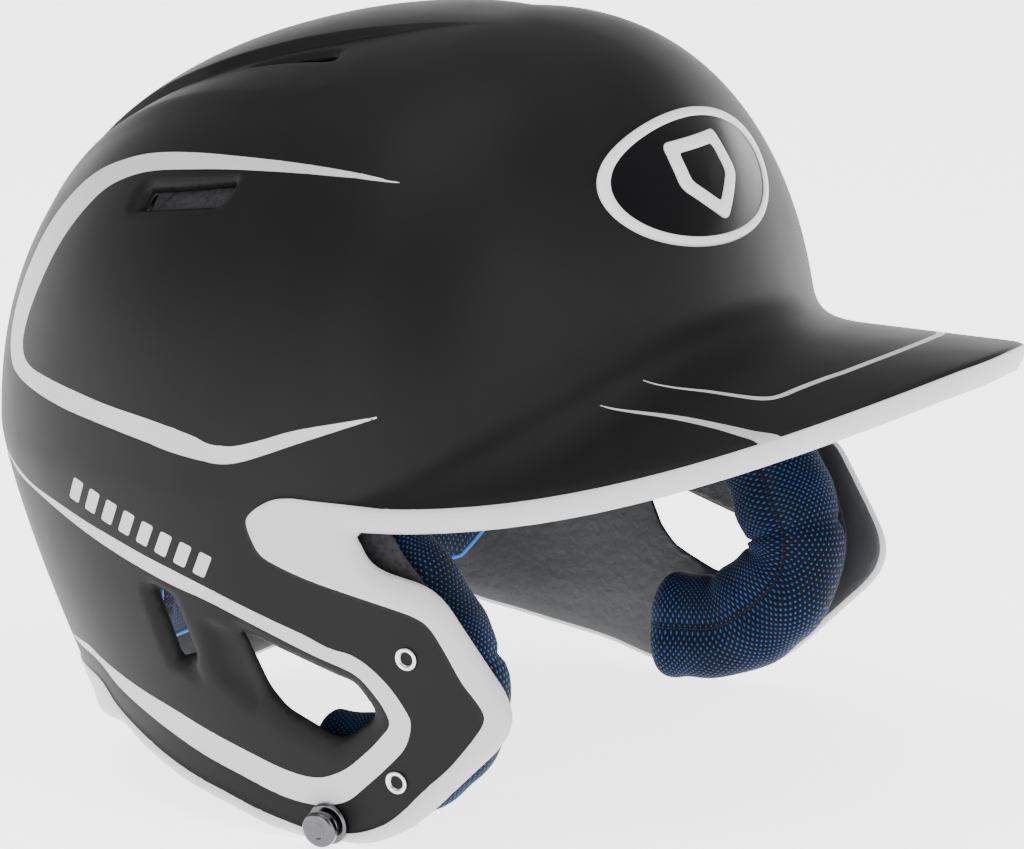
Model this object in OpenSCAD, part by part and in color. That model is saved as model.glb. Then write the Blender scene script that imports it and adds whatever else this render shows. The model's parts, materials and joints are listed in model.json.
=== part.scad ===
// Batting helmet with two ear flaps, a front brim and fabric-covered padding.
// Millimetres. +Z up, front of the helmet along -Y, wearer's left along +X.
// The origin is on the middle plane at the level of the table the helmet stands on.

/* [Shell] */
// Half of the shell's overall width
half_width = 107.5; // [104:0.5:110]
// Forehead distance from the dome centre
dome_front = 76; // [72:1:80]
// Nape distance from the dome centre
dome_rear = 136.5; // [132:0.5:140]
// Crown height above the dome centre
dome_top = 111; // [107:1:115]
// Forward reach of the lower flap walls
flap_front = 220; // [212:2:228]
// Thickness of the moulded shell
shell_t = 3.6; // [3:0.2:4.2]
// Outward kick of the nape rim
rim_kick = 3; // [0:0.5:5]

/* [Brim] */
// Brim height above the dome centre
brim_h = 35; // [32:1:37]
// Brim reach in front of its own centre
brim_reach = 130; // [124:1:134]
// Downward bend of the brim at its sides
brim_bend = 0.0029; // [0.0025:0.0001:0.0033]
// Depth of the turned-down edge
brim_lip = 7; // [6:0.5:8]

/* [Padding] */
// Thickness of the foam liner blocks
liner_t = 11; // [9:1:12]
// Thickness of the comfort pads
pad_t = 9; // [7:1:10]
// Radius of the ear cushions
ear_r = 12; // [11:0.5:12.5]

/* [Fasteners] */
// Thread core radius of the face guard inserts
insert_bore_r = 1.65; // [1.6:0.05:1.75]
// Outer radius of the insert barrels
insert_r = 2.7; // [2.6:0.1:2.8]
// Head radius of the chin strap studs
stud_r = 4.8; // [4.6:0.1:5]

/* [Hidden] */
zc = 88.5;
yc = 2.75;
lower_side = 480;
lower_rear = 205;
brim_half = 105;
brim_y = -12;
gap = 0.6;
liner_in = shell_t + gap;
pad_in = liner_in + liner_t + 1.2;
ear_in = shell_t + 3.6;
az_n = 96;

function clamp01(t) = max(0, min(1, t));
function ease(t) = let(u = clamp01(t)) u * u * (3 - 2 * u);
function soft_max(a, b, k) = let(u = clamp01(0.5 + 0.5 * (a - b) / k))
  b + (a - b) * u + k * u * (1 - u);
function soft_min(a, b, k) = -soft_max(-a, -b, k);
function dir(az, el) = [sin(az) * cos(el), -cos(az) * cos(el), sin(el)];

// Distance from the centre line to the brim outline along a heading
function outline(cx, cf, va, vl, o = 110, n = 7) = n == 0 ? o :
  let(s = pow(abs(cx * o / va), 1.95) + pow(abs((cf * o + brim_y) / vl), 1.95))
  outline(cx, cf, va, vl, o / sqrt(s), n - 1);
function edge_el(cx, cf) = let(o = outline(cx, cf, brim_half, brim_reach), x = cx * o)
  atan2(brim_h - brim_bend * x * x, o);

// Dome radius along the direction d, sunk by t
function dome_r(d, t) =
  let(h = norm([d.x, d.y]) + 1e-9, cx = abs(d.x) / h, cf = -d.y / h, low = ease(-d.z / 0.2),
    b = (cf > 0 ? dome_front + (flap_front - dome_front) * low : dome_rear) - t,
    r0 = pow(pow(cx / (half_width - t), 2.3) + pow(abs(cf) / b, 2.3), -1 / 2.3),
    rh = r0 * (cf > 0 ? 1 - 0.06 * (1 - low) * 4 * cx * cx * cf * cf : 1),
    under = lower_side + (lower_rear - lower_side) * ease(-cf),
    c = (d.z > 0 ? dome_top : under) - t,
    q = d.z > 0 ? 2.25 : 1.3,
    r = pow(pow(h / rh, q) + pow(abs(d.z) / c, q), -1 / q))
  r + rim_kick * ease((-r * d.z - 66) / 24) * ease((0.1 - cf) / 0.6);

// Brim radius along the direction d, sunk by t
function brim_r(d, t) =
  let(h = norm([d.x, d.y]) + 1e-9, cx = abs(d.x) / h, cf = -d.y / h,
    a = brim_bend * d.x * d.x, up = brim_h - t,
    sheet = a > 1e-7 ? (sqrt(d.z * d.z + 4 * a * up) - d.z) / (2 * a) : up / max(d.z, 1e-6),
    rim = outline(cx, cf, brim_half - t, brim_reach - t) / h)
  soft_min(min(sheet, 400), rim, 3) - 70 * ease((edge_el(cx, cf) - 5 - asin(d.z)) / 9);

function shell_r(d, t) = let(h = norm([d.x, d.y]) + 1e-9, k = 2 + 16 * ease((-d.y / h - 0.05) / 0.6))
  soft_max(dome_r(d, t), brim_r(d, t), k);
function at(az, el, t) = let(d = dir(az, el)) d * shell_r(d, t) + [0, yc, zc];

// Rows of the shell grid follow the brim edge so that the edge stays crisp
low_rows = [0, 0.16, 0.32, 0.48, 0.64, 0.78, 0.88, 0.95];
top_rows = [0, 0.02, 0.045, 0.08, 0.13, 0.2, 0.28, 0.37, 0.47, 0.58, 0.69, 0.79, 0.88, 0.95];
function row_el(az, i) = let(e = edge_el(abs(sin(az)), cos(az)))
  i < 8 ? -52 + (e + 52) * low_rows[i] : e + (90 - e) * top_rows[i - 8];
rows = 22;

module cap_solid() {
  outer = [for (i = [0:rows - 1], j = [0:az_n - 1]) at(j * 360 / az_n, row_el(j * 360 / az_n, i), 0)];
  inner = [for (i = [0:rows - 1], j = [0:az_n - 1])
    at(j * 360 / az_n, row_el(j * 360 / az_n, i), shell_t)];
  n = rows * az_n;
  poles = [[0, yc, zc + dome_top], [0, yc, zc + dome_top - shell_t]];
  walls = [for (i = [0:rows - 2], j = [0:az_n - 1]) let(k = (j + 1) % az_n, p = i * az_n)
    [p + j, p + az_n + j, p + az_n + k, p + k]];
  polyhedron(concat(outer, inner, poles), concat(
    [for (f = walls) [f[0], f[1], f[2]]], [for (f = walls) [f[0], f[2], f[3]]],
    [for (f = walls) [f[2] + n, f[1] + n, f[0] + n]], [for (f = walls) [f[3] + n, f[2] + n, f[0] + n]],
    [for (j = [0:az_n - 1]) [n - az_n + j, 2 * n, n - az_n + (j + 1) % az_n]],
    [for (j = [0:az_n - 1]) [2 * n - az_n + (j + 1) % az_n, 2 * n + 1, 2 * n - az_n + j]],
    [for (j = [0:az_n - 1]) [j, (j + 1) % az_n, n + (j + 1) % az_n]],
    [for (j = [0:az_n - 1]) [j, n + (j + 1) % az_n, n + j]]));
}

// Draw a profile given as [y, z] about the dome centre and run it along X
module along_x(x0, x1) {
  translate([x0, yc, zc]) rotate([90, 0, 90]) linear_extrude(x1 - x0) children();
}

function brim_under(y) = let(v = min(1, abs((-y + brim_y) / brim_reach)),
  x = brim_half * pow(max(0, 1 - pow(v, 1.95)), 1 / 1.95)) brim_h - brim_lip - brim_bend * x * x;

module side_outline() {
  polygon(concat(
    [for (k = [0:11]) let(y = -brim_reach + brim_y - 8 + 118 * sin(7.6 * k)) [y, brim_under(y)]],
    [[-17.3, -4.9], [-22.2, -12.9], [-25.5, -14.5], [-40.8, -16.9], [-46.3, -20.4], [-60.8, -42.2],
      [-62.2, -46], [-61.2, -52.7], [-56.2, -59.2], [-36.3, -77.5], [-28.5, -83.4], [-18.8, -87.8],
      [-6.7, -88.5], [2.2, -88.5], [24, -83.3], [40.9, -79.8], [57.5, -74.8], [69.1, -71.5], [87.9, -77],
      [104, -84.5], [120, -88.5], [170, -88.5], [170, 160], [-170, 160], [-170, 28]]));
}

module ear_hole() {
  polygon([[17.9, -34.5], [17.8, -36.4], [9.7, -50.3], [5.3, -55.1], [-8.1, -60.9], [-14.1, -60.9],
    [-22.2, -54.1], [-22.9, -50.8], [-17.3, -44.1], [-13.6, -43.2]]);
}

module ear_slot() {
  polygon([[48.1, -27.1], [38.1, -29.1], [30.8, -44.4], [28.7, -50.2], [39.2, -47.2]]);
}

module side_vent() {
  polygon([[64, 65], [63, 71], [32, 77], [35, 71]]);
}

module crown_vent(side) {
  translate([0, yc, 0]) linear_extrude(zc + 140)
    polygon([for (p = [[37, 54], [44, 26], [38, 27], [35, 38]]) [side * p.x, p.y]]);
}

// Small rounded lugs inside the shell that the liner blocks press against
module liner_lug(az, el) {
  hull() {
    translate(at(az, el, shell_t - 0.8)) sphere(2.4, $fn = 10);
    translate(at(az, el, shell_t + 1.2)) sphere(1.2, $fn = 10);
  }
}

module shell() color([0.1, 0.1, 0.11]) difference() {
  union() {
    intersection() {
      cap_solid();
      along_x(-140, 140) side_outline();
    }
    for (az = [62, 298, 90, 270, 118, 242, 150, 210]) liner_lug(az, 22);
  }
  along_x(-140, -60) ear_hole();
  along_x(60, 140) ear_hole();
  along_x(-140, -60) ear_slot();
  along_x(60, 140) ear_slot();
  along_x(-120, -50) side_vent();
  along_x(50, 120) side_vent();
  crown_vent(-1);
  crown_vent(1);
  for (s = [-1, 1]) {
    on_shell(s, -30.9, -32.1) cylinder(r = insert_r + 0.25, h = 16, center = true, $fn = 24);
    on_shell(s, -27, -65.5) cylinder(r = insert_r + 0.25, h = 16, center = true, $fn = 24);
    on_shell(s, -7.1, -79.8) cylinder(r = 2.4, h = 16, center = true, $fn = 24);
  }
}

// Put a child on the outer wall near [y, z], its +Z along the outward normal
function wall_dir(s, y, z) = let(v = [s * 96, y, z]) v / norm(v);
function wall_pt(s, y, z, t) = let(d = wall_dir(s, y, z)) d * dome_r(d, t);
function wall_n(s, y, z) = let(c = cross(wall_pt(s, y + 2, z, 0) - wall_pt(s, y - 2, z, 0),
  wall_pt(s, y, z + 2, 0) - wall_pt(s, y, z - 2, 0))) s * c / norm(c);
module on_shell(s, y, z) {
  n = wall_n(s, y, z);
  translate(wall_pt(s, y, z, 0) + [0, yc, zc]) rotate([0, acos(n.z), atan2(n.y, n.x)]) children();
}

// Soft block that follows the inside of the shell between two headings and two elevations
module block(a0, a1, e0, e1, sink, thick, na, ne) {
  slab([for (i = [0:na], j = [0:ne]) dir(a0 + (a1 - a0) * i / na, e0 + (e1 - e0) * j / ne)],
    sink, thick, na, ne);
}
// Soft block under the crown between two widths and two lengths
module crown_block(x0, x1, y0, y1, sink, thick, na, ne) {
  slab([for (i = [0:na], j = [0:ne])
    let(v = [x1 + (x0 - x1) * i / na, y0 + (y1 - y0) * j / ne, 90]) v / norm(v)], sink, thick, na, ne);
}
// Closed pillow over a grid of directions, thinner towards its edges
module slab(d, sink, thick, na, ne) {
  function bulge(u) = 1 - pow(abs(2 * u - 1), 4);
  function pt(i, j, t) = let(m = min(bulge(i / na), bulge(j / ne)), v = d[i * (ne + 1) + j])
    v * shell_r(v, sink + t * (0.3 + 0.7 * m)) + [0, yc, zc];
  m = ne + 1;
  n = (na + 1) * m;
  outer = [for (i = [0:na], j = [0:ne]) pt(i, j, 0)];
  inner = [for (i = [0:na], j = [0:ne]) pt(i, j, thick)];
  polyhedron(concat(outer, inner), concat(
    [for (i = [0:na - 1], j = [0:ne - 1]) [i * m + j, i * m + j + 1, i * m + m + j + 1]],
    [for (i = [0:na - 1], j = [0:ne - 1]) [i * m + j, i * m + m + j + 1, i * m + m + j]],
    [for (i = [0:na - 1], j = [0:ne - 1]) [n + i * m + m + j + 1, n + i * m + j + 1, n + i * m + j]],
    [for (i = [0:na - 1], j = [0:ne - 1]) [n + i * m + m + j, n + i * m + m + j + 1, n + i * m + j]],
    [for (j = [0:ne - 1]) [j, n + j + 1, j + 1]], [for (j = [0:ne - 1]) [j, n + j, n + j + 1]],
    [for (j = [0:ne - 1]) let(p = na * m) [p + j, p + j + 1, n + p + j + 1]],
    [for (j = [0:ne - 1]) let(p = na * m) [p + j, n + p + j + 1, n + p + j]],
    [for (i = [0:na - 1]) [i * m, i * m + m, n + i * m + m]],
    [for (i = [0:na - 1]) [i * m, n + i * m + m, n + i * m]],
    [for (i = [0:na - 1]) let(p = i * m + ne) [p, n + p + m, p + m]],
    [for (i = [0:na - 1]) let(p = i * m + ne) [p, n + p, n + p + m]]));
}

function badge_spot(r, a, t) = at(39.8 * r * cos(a), 50.4 + 10.1 * r * sin(a), t);
module front_badge() {
  n = 32;
  k = 4 * n;
  function quad(p, w) = [for (a = [0:n - 1]) let(b = (a + 1) % n)
    w ? [p[0] + a, p[0] + b, p[1] + b] : [p[0] + a, p[1] + b, p[1] + a]];
  rings = [for (t = [-1.2, -0.4], r = [0.5, 1], a = [0:n - 1]) badge_spot(r, a * 360 / n, t)];
  color([0.8, 0.8, 0.8]) polyhedron(concat(rings, [badge_spot(0, 0, -1.2), badge_spot(0, 0, -0.4)]),
    concat(quad([0, n], true), quad([0, n], false), quad([n, 3 * n], true), quad([n, 3 * n], false),
      quad([3 * n, 2 * n], true), quad([3 * n, 2 * n], false),
      [for (a = [0:n - 1]) [k, (a + 1) % n, a]],
      [for (a = [0:n - 1]) [k + 1, 2 * n + a, 2 * n + (a + 1) % n]]));
}

module liner_front() color([0.06, 0.06, 0.07]) block(-52, 52, 22, 48, liner_in, liner_t, 16, 6);
module liner_crown() color([0.06, 0.06, 0.07]) crown_block(-32, 32, -34, 62, liner_in, liner_t, 9, 12);
module liner_rear() color([0.06, 0.06, 0.07]) block(138, 222, 10, 44, liner_in, liner_t, 15, 7);
module liner_left() color([0.06, 0.06, 0.07]) block(64, 128, 14, 46, liner_in, liner_t, 11, 7);
module liner_right() color([0.06, 0.06, 0.07]) block(232, 296, 14, 46, liner_in, liner_t, 11, 7);

module brow_pad() color([0.1, 0.14, 0.25]) block(-48, 48, 24, 42, pad_in, pad_t, 16, 6);
module crown_pad() color([0.1, 0.14, 0.25]) crown_block(-26, 26, -28, 54, pad_in, pad_t, 8, 10);
module nape_pad() color([0.1, 0.14, 0.25]) block(121, 239, -31, 7.5, liner_in, liner_t + pad_t - 1, 20, 8);
module temple_pad_left() color([0.1, 0.14, 0.25]) block(70, 122, 17, 40, pad_in, pad_t, 10, 6);
module temple_pad_right() color([0.1, 0.14, 0.25]) block(238, 290, 17, 40, pad_in, pad_t, 10, 6);

// Cushion that loops round an ear hole
ear_path = [[-9.2, -3.7], [-17.5, -12.9], [-25, -22.2], [-29.9, -30.8], [-33.8, -43.2], [-33.2, -53.2],
  [-27.8, -63.2], [-17.4, -70.4], [-4.8, -72.4], [2.9, -72.4]];
ear_flat = 0.7;
module ear_ring(s, depth, r, flat) {
  m = len(ear_path);
  n = 12;
  function c(i) = wall_pt(s, ear_path[i].x, ear_path[i].y, 0) - out(i) * depth;
  function along(i) = let(v = c(min(m - 1, i + 1)) - c(max(0, i - 1))) v / norm(v);
  function out(i) = wall_n(s, ear_path[i].x, ear_path[i].y);
  function side(i) = let(v = cross(along(i), out(i))) v / norm(v);
  function size(i) = i == 0 || i == m - 1 ? 0.55 : 1;
  ring = [for (i = [0:m - 1], a = [0:n - 1])
    c(i) + [0, yc, zc] + size(i) * r * (cos(a * 360 / n) * side(i) + flat * sin(a * 360 / n) * out(i))];
  ends = [c(0) - along(0) * r * 0.4 + [0, yc, zc], c(m - 1) + along(m - 1) * r * 0.4 + [0, yc, zc]];
  k = m * n;
  polyhedron(concat(ring, ends), concat(
    [for (i = [0:m - 2], a = [0:n - 1]) let(b = (a + 1) % n) [i * n + a, i * n + b, i * n + n + b]],
    [for (i = [0:m - 2], a = [0:n - 1]) let(b = (a + 1) % n) [i * n + a, i * n + n + b, i * n + n + a]],
    [for (a = [0:n - 1]) [k, (a + 1) % n, a]],
    [for (a = [0:n - 1]) [k + 1, k - n + a, k - n + (a + 1) % n]]));
}

module ear_pad_left() color([0.1, 0.14, 0.25])
  ear_ring(1, ear_in + 1.7 + ear_r * ear_flat, ear_r, ear_flat);
module ear_pad_right() color([0.1, 0.14, 0.25])
  ear_ring(-1, ear_in + 1.7 + ear_r * ear_flat, ear_r, ear_flat);
module ear_pad_base_left() color([0.06, 0.06, 0.07])
  ear_ring(1, ear_in + 0.7, ear_r * 0.75, 0.8 / ear_r);
module ear_pad_base_right() color([0.06, 0.06, 0.07])
  ear_ring(-1, ear_in + 0.7, ear_r * 0.75, 0.8 / ear_r);

// Flanged threaded insert for a face guard screw
module insert(s, y, z) {
  on_shell(s, y, z) translate([0, 0, -shell_t - 0.2]) rotate_extrude()
    polygon([[insert_bore_r, -1.4], [4.6, -1.4], [4.6, -0.4], [insert_r, -0.4], [insert_r, shell_t + 0.3],
      [insert_r - 0.3, shell_t + 0.6],
      [insert_bore_r + 0.25, shell_t + 0.6], [insert_bore_r, shell_t + 0.3]]);
}
module insert_upper_left() color([0.75, 0.75, 0.77]) insert(1, -30.9, -32.1);
module insert_upper_right() color([0.75, 0.75, 0.77]) insert(-1, -30.9, -32.1);
module insert_lower_left() color([0.75, 0.75, 0.77]) insert(1, -27, -65.5);
module insert_lower_right() color([0.75, 0.75, 0.77]) insert(-1, -27, -65.5);

// Chin strap snap stud: base flange, neck, rounded head and shank through the wall
module stud(s) {
  on_shell(s, -7.1, -79.8) rotate_extrude()
    polygon([[0, -shell_t - 3], [2, -shell_t - 3], [2, 0.4], [5.4, 0.4], [5.6, 0.7], [5.6, 1.3],
      [5.2, 1.7], [3.4, 1.9], [3, 2.4], [3, 3.4], [3.4, 3.7], [stud_r - 0.3, 3.8], [stud_r, 4.1],
      [stud_r, 5.5], [stud_r - 0.5, 6.2], [stud_r - 1.6, 6.5], [2.2, 6.6], [1.8, 6.2], [0, 6.2]]);
}
module stud_left() color([0.3, 0.3, 0.32]) stud(1);
module stud_right() color([0.3, 0.3, 0.32]) stud(-1);
module washer(s) {
  on_shell(s, -7.1, -79.8) translate([0, 0, -shell_t - 1.7]) rotate_extrude()
    polygon([[2.15, 0], [4.6, 0], [5, 0.3], [5, 0.9], [2.15, 0.9]]);
}
module stud_washer_left() color([0.3, 0.3, 0.32]) washer(1);
module stud_washer_right() color([0.3, 0.3, 0.32]) washer(-1);

// Hook fabric squares between the liner blocks and the comfort pads
module patch(az, el) {
  translate(at(az, el, liner_in + liner_t + 0.6)) rotate([0, 90 - el, az - 90])
    cube([12, 12, 0.3], center = true);
}
module hook_patches() color([0.05, 0.05, 0.05]) {
  for (az = [155, 180, 205]) patch(az, 27);
  for (az = [-24, 24]) patch(az, 33);
  for (az = [96, 264]) patch(az, 28);
}

shell();
front_badge();
liner_front();
liner_crown();
liner_rear();
liner_left();
liner_right();
brow_pad();
crown_pad();
nape_pad();
temple_pad_left();
temple_pad_right();
ear_pad_left();
ear_pad_right();
ear_pad_base_left();
ear_pad_base_right();
insert_upper_left();
insert_upper_right();
insert_lower_left();
insert_lower_right();
stud_left();
stud_right();
stud_washer_left();
stud_washer_right();
hook_patches();
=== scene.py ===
import json
import math

import bpy
import numpy as np
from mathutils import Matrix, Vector


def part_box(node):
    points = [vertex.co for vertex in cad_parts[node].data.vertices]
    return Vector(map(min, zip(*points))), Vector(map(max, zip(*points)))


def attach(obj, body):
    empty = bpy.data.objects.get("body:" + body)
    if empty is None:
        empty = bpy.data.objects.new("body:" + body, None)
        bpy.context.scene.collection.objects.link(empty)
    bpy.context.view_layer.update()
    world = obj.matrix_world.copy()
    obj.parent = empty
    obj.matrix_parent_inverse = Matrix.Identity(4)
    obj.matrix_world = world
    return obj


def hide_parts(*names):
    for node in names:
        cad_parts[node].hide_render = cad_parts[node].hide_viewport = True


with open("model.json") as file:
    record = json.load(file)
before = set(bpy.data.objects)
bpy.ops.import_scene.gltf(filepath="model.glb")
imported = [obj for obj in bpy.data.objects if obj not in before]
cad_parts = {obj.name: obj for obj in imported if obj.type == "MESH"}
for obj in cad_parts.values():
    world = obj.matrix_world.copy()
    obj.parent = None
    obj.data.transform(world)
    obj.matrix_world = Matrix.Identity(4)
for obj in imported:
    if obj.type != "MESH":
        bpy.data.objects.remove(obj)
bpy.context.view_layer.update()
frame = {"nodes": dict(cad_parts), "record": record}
record = frame["record"]
MOUNTS = {m["name"]: m for m in record["mounts"]}

# ------------------------------------------------------------ shape of the shell, mm about the dome centre
shell_lo, shell_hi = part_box("shell")
HALF_W = (shell_hi.x - shell_lo.x) * 500
DOME_TOP = 111.0
CENTRE = np.array([0.0, 2.75, shell_hi.z * 1000 - DOME_TOP])
FRONT, FLAP_FRONT, REAR = 76.0, 220.0, 136.5
UNDER_SIDE, UNDER_REAR, KICK = 480.0, 205.0, 3.0
BRIM_H, BRIM_BEND, BRIM_Y, BRIM_HALF, BRIM_REACH = 35.0, 0.0029, -12.0, 105.0, 130.0
LIP, WALL, LIP_W = 7.0, 3.6, 3.4


def ease(t):
    t = np.clip(t, 0, 1)
    return t * t * (3 - 2 * t)


def soft_max(a, b, k):
    u = np.clip(0.5 + 0.5 * (a - b) / k, 0, 1)
    return b + (a - b) * u + k * u * (1 - u)


def outline_r(cx, cf, half, reach):
    """Distance from the centre line to the brim's outline along a heading."""
    o = np.full_like(cx, 110.0)
    for _ in range(7):
        s = np.abs(cx * o / half) ** 1.95 + np.abs((cf * o + BRIM_Y) / reach) ** 1.95
        o = o / np.sqrt(s)
    return o


def edge_el(cx, cf):
    o = outline_r(cx, cf, BRIM_HALF, BRIM_REACH)
    return np.degrees(np.arctan2(BRIM_H - BRIM_BEND * (cx * o) ** 2, o))


def shell_r(d, t=0.0):
    """Distance from the dome centre to the wall along unit directions d, t below the outer face."""
    x, y, z = d[..., 0], d[..., 1], d[..., 2]
    h = np.hypot(x, y) + 1e-9
    cx, cf = np.abs(x) / h, -y / h
    low = ease(-z / 0.2)
    b = np.where(cf > 0, FRONT + (FLAP_FRONT - FRONT) * low, REAR) - t
    rh = ((cx / (HALF_W - t)) ** 2.3 + (np.abs(cf) / b) ** 2.3) ** (-1 / 2.3)
    rh = rh * np.where(cf > 0, 1 - 0.06 * (1 - low) * 4 * (cx * cf) ** 2, 1)
    under = UNDER_SIDE + (UNDER_REAR - UNDER_SIDE) * ease(-cf)
    c = np.where(z > 0, DOME_TOP, under) - t
    q = np.where(z > 0, 2.25, 1.3)
    dome = ((h / rh) ** q + (np.abs(z) / c) ** q) ** (-1 / q)
    dome = dome + KICK * ease((-dome * z - 66) / 24) * ease((0.1 - cf) / 0.6)
    a = BRIM_BEND * x * x
    up = BRIM_H - t
    sheet = np.where(
        a > 1e-7,
        (np.sqrt(z * z + 4 * a * up) - z) / (2 * np.maximum(a, 1e-7)),
        up / np.maximum(z, 1e-6),
    )
    rim = outline_r(cx, cf, BRIM_HALF - t, BRIM_REACH - t) / h
    el = np.degrees(np.arcsin(np.clip(z, -1, 1)))
    brim = -soft_max(-np.minimum(sheet, 400), -rim, 3.0) - 70 * ease((edge_el(cx, cf) - 5 - el) / 9)
    return soft_max(dome, brim, 2 + 16 * ease((cf - 0.05) / 0.6))


def direction(az, el):
    az, el = np.radians(az), np.radians(el)
    return np.stack([np.sin(az) * np.cos(el), -np.cos(az) * np.cos(el), np.sin(el)], -1)


def unit(v):
    return v / (np.linalg.norm(v, axis=-1, keepdims=True) + 1e-12)


def wall_point(d, t=0.0):
    return d * shell_r(d, t)[..., None]


# ---------------------------------------------------------------- outlines
def spline(pts, n=6):
    """A smooth open curve through pts."""
    p = np.array(pts, float)
    p = np.vstack([2 * p[0] - p[1], p, 2 * p[-1] - p[-2]])
    out = []
    for i in range(1, len(p) - 2):
        for s in np.arange(n) / n:
            a, b, c, d = p[i - 1 : i + 3]
            out.append(
                0.5 * (
                    2 * b + (c - a) * s + (2 * a - 5 * b + 4 * c - d) * s**2 + (3 * b - a - 3 * c + d) * s**3
                )
            )
    out.append(p[-2])
    return np.array(out)


def rounded(pts, r, n=5):
    """A closed polygon with its corners rounded."""
    p = np.array(pts, float)
    out = []
    for i in range(len(p)):
        a, b, c = p[i - 1], p[i], p[(i + 1) % len(p)]
        la, lc = np.linalg.norm(a - b), np.linalg.norm(c - b)
        s, e = b + (a - b) * min(r / la, 0.48), b + (c - b) * min(r / lc, 0.48)
        for k in range(n + 1):
            u = k / n
            out.append((1 - u) ** 2 * s + 2 * u * (1 - u) * b + u * u * e)
    return np.array(out)


def inside_distance(poly, u, v):
    """Signed distance to a closed polygon, negative inside."""
    p = np.asarray(poly, float)
    best = np.full(u.shape, 1e9)
    odd = np.zeros(u.shape, bool)
    for a, b in zip(p, np.roll(p, -1, 0)):
        e = b - a
        w0, w1 = u - a[0], v - a[1]
        k = np.clip((w0 * e[0] + w1 * e[1]) / (e @ e + 1e-12), 0, 1)
        best = np.minimum(best, (w0 - e[0] * k) ** 2 + (w1 - e[1] * k) ** 2)
        if a[1] != b[1]:
            crosses = ((a[1] > v) != (b[1] > v)) & (u < e[0] * (v - a[1]) / e[1] + a[0])
            odd ^= crosses
    return np.where(odd, -1, 1) * np.sqrt(best)


def brim_side(y, drop):
    """Height of the brim's edge in side view, drop below its top."""
    k = np.clip(np.abs((-y + BRIM_Y) / BRIM_REACH), 0, 1)
    x = BRIM_HALF * (1 - k**1.95) ** (1 / 1.95)
    return BRIM_H - drop - BRIM_BEND * x * x


brim_y = -12 - (BRIM_REACH + 6) * np.sin(np.radians(np.linspace(88, 3, 26)))
NAPE_EDGE = spline(
    [
        (2.2, -88.5), (12, -87), (24, -83.6), (40.9, -79.8), (57.5, -75), (69.1, -71.8), (87.9, -77),
        (104, -84.5), (120, -88.4), (170, -88.5)
    ]
)
TRIM = np.vstack(
    [
        np.stack([brim_y, brim_side(brim_y, LIP)], -1),
        rounded(
            [
                (-17.7, 0), (-18, -4), (-22.8, -13.4), (-43, -17.1), (-62.5, -45), (-60.8, -54.1),
                (-33.4, -80.4), (-18.8, -88.3), (2.2, -88.5)
            ],
            7
        )[8:-6],
        NAPE_EDGE,
        [(170, 160), (-170, 160), (-170, 28)],
    ]
)
EAR_HOLE = rounded(
    [
        (18.4, -34.2), (10.1, -50.3), (4.8, -55.6), (-8.1, -60.9), (-13.1, -61.3), (-22.5, -54.1),
        (-23, -50.8), (-17.3, -44), (-12.6, -43.1)
    ],
    2.4
)
SLOT = rounded([(47.6, -27.1), (38.6, -28.9), (31.8, -44.4), (39.6, -47.2)], 2.0)
SLOT_RAMP = rounded([(46.3, -35.7), (39, -48.6), (27.5, -52.5), (33.1, -40.6)], 2.0)
EAR_RAMP = rounded([(30, -31.6), (17, -34), (8.6, -51.3), (11.9, -57.9), (26.5, -48.3)], 4.0)
SIDE_VENT = rounded([(63.5, 66), (62, 71.5), (31, 77.3), (33.5, 71)], 1.6)
CROWN_VENT = rounded([(40.5, 53), (37.2, 32), (38.2, 27), (43.5, 26)], 1.4)
C_STRIPE = np.vstack(
    [
        spline(
            [
                (-18, 80), (-4, 81.7), (14, 82.3), (30, 82), (47, 81), (62, 79), (74, 75.8), (86, 70.6),
                (95, 63.5), (102.5, 54), (107.5, 43), (110.5, 32), (110, 24), (106, 19), (99, 17)
            ]
        ),
        spline(
            [
                (89, 15.8), (77, 14.6), (62, 13.4), (47, 11.8), (36, 10.2), (26, 9.4), (20, 9.3),
                (14, 10.5), (6, 13.5), (-4, 17.6), (-26, 26.2)
            ]
        )[:-1],
        spline(
            [
                (-26, 26.2), (-4, 21), (8, 16.8), (15, 14.6), (19, 14), (24, 14), (30, 15.5), (44, 17.4),
                (59, 18.6), (72, 19.8), (86, 20.8), (93.5, 21.4), (98.5, 23.2), (100.5, 27), (99.5, 33),
                (96, 42), (90.5, 53.5), (83.5, 63), (76, 69.5), (63, 74.6), (45, 77.6), (30, 79.2),
                (13, 80.2), (-4, 80.6)
            ]
        ),
    ]
)
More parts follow.
